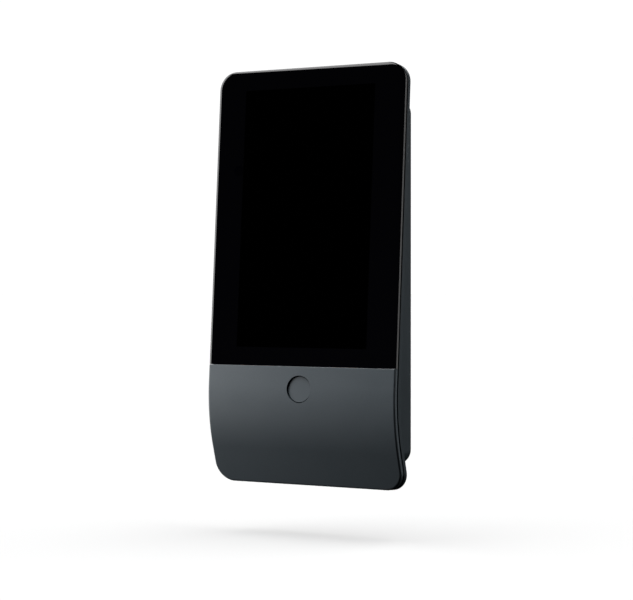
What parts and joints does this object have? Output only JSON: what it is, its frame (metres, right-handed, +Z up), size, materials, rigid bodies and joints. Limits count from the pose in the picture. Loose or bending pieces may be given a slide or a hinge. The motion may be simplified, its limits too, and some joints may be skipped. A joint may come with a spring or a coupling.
{
  "type": "alarm keypad panel",
  "caption": "Wall-mounted touchscreen alarm keypad with a leaning black glass front, a bent satin lower cover with a round button, and a lift-off wall bracket.",
  "frame": {"origin": "middle of the wall bracket's back face, on the wall", "axes": "+X to the right of a person facing the panel, +Y into the wall, +Z up"},
  "size_m": [0.0892, 0.0236, 0.1778],
  "materials": {
    "bracket_plastic": "fine moulded texture",
    "screw_steel": "zinc plated",
    "housing_plastic": "fine moulded texture",
    "frame_plastic": "moulded, matt",
    "cover_glass": "polished, printed black behind",
    "tape_foam": "foam tape",
    "screen_cell": "polished",
    "backlight_steel": "stamped sheet",
    "chip_epoxy": "moulded epoxy",
    "ribbon_film": "polyimide film",
    "cover_plastic": "satin, very fine texture",
    "natural_plastic": "moulded, natural",
    "circuit_board": "solder mask",
    "tinned_steel": "tinned",
    "capacitor_can": "drawn can",
    "terminal_plastic": "moulded"
  },
  "bodies": {
    "bracket": {"wall_bracket": "bracket_plastic", "holding_screw": "screw_steel"},
    "panel": {"housing_screws": "screw_steel", "board_screws": "screw_steel", "terminal_screws": "screw_steel", "rear_housing": "housing_plastic", "front_frame": "frame_plastic", "button_switch": "frame_plastic", "tamper_switch": "frame_plastic", "buzzer": "frame_plastic", "cover_glass": "cover_glass", "glass_tape": "tape_foam", "display_panel": "screen_cell", "backlight_unit": "backlight_steel", "support_plate": "backlight_steel", "light_sensor": "chip_epoxy", "processor": "chip_epoxy", "memory_chip": "chip_epoxy", "power_inductor": "chip_epoxy", "display_ribbon": "ribbon_film", "touch_ribbon": "ribbon_film", "button_ribbon": "ribbon_film", "lower_cover": "cover_plastic", "button_guide": "natural_plastic", "ribbon_connectors": "natural_plastic", "main_board": "circuit_board", "button_board": "circuit_board", "shield_can": "tinned_steel", "capacitors": "capacitor_can", "terminal_block": "terminal_plastic"},
    "button": {"front_button": "cover_plastic", "switch_stem": "natural_plastic"},
    "plunger": {"tamper_plunger": "natural_plastic"}
  },
  "joints": [
    {"name": "panel_lift", "type": "slide", "parent": "bracket", "child": "panel", "axis": [0, 0, 1], "range_m": [0, 0.006]},
    {"name": "button_press", "type": "slide", "parent": "panel", "child": "button", "axis": [0, 0.9972, -0.075], "range_m": [0, 0.0005], "stiffness_N_per_m": 900, "springref_m": -0.001},
    {"name": "tamper_travel", "type": "slide", "parent": "panel", "child": "plunger", "axis": [0, 0.9972, -0.075], "range_m": [0, 0.0015]}
  ],
  "couplings": [
    {"joint": "tamper_travel", "follows": "panel_lift", "ratio": 0.25}
  ]
}
